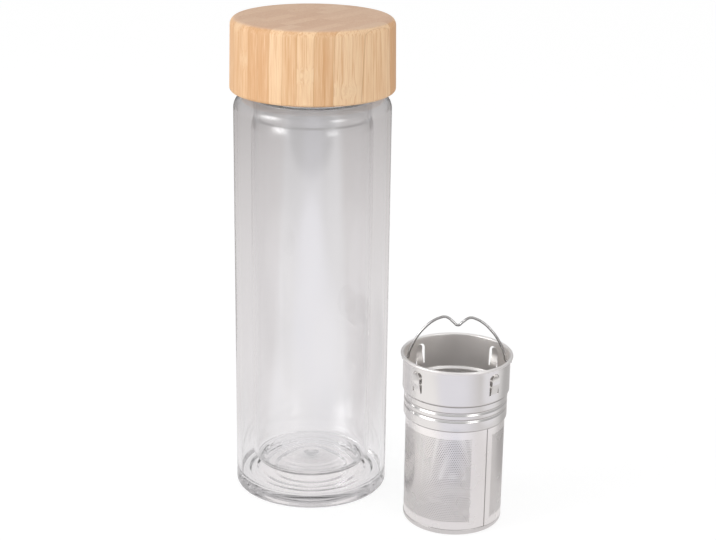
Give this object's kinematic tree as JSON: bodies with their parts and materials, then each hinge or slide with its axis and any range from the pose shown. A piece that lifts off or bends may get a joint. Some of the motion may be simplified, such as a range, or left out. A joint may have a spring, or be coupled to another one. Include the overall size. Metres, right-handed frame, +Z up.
{
  "type": "glass tea infuser bottle",
  "caption": "Double-walled clear glass tea bottle with a bamboo screw cap, and its perforated steel infuser with a folding wire handle standing beside it.",
  "frame": {"origin": "centre of the bottle's flat base, on the table that the bottle and the infuser stand on", "axes": "+Z up along the bottle's axis; the infuser stands towards +X and -Y, and the picture looks roughly along +Y"},
  "size_m": [0.121, 0.0942, 0.2094],
  "materials": {
    "glass": "clear, polished",
    "bamboo": "sanded laminated bamboo, thinly oiled",
    "liner_plastic": "moulded, satin",
    "silicone": "translucent, matt",
    "polished_steel": "polished",
    "satin_steel": "satin, perforated",
    "steel_wire": "drawn wire, bright"
  },
  "bodies": {
    "bottle": {"outer_wall": "glass", "inner_flask": "glass"},
    "seal": {"cap_seal": "silicone"},
    "cap": {"bamboo_cap": "bamboo", "cap_liner": "liner_plastic"},
    "infuser": {"infuser_collar": "polished_steel", "infuser_basket": "satin_steel", "infuser_base": "satin_steel"},
    "handle": {"infuser_handle": "steel_wire"}
  },
  "joints": [
    {"name": "cap_rise", "type": "slide", "parent": "bottle", "child": "seal", "axis": [0, 0, 1], "range_m": [0, 0.02]},
    {"name": "cap_turn", "type": "hinge", "parent": "seal", "child": "cap", "pos_m": [0, 0, 0.19], "axis": [0, 0, 1], "range_deg": [0, 1800]},
    {"name": "infuser_lift", "type": "slide", "parent": "bottle", "child": "infuser", "axis": [0, 0, 1], "range_m": [0, 0.22]},
    {"name": "handle_swing", "type": "hinge", "parent": "infuser", "child": "handle", "pos_m": [0.06201, -0.03527, 0.07177], "axis": [0.9979, -0.0645, 0], "range_deg": [-90, 90]}
  ],
  "couplings": [
    {"joint": "cap_rise", "follows": "cap_turn", "m_per_rad": 0.00063662}
  ]
}
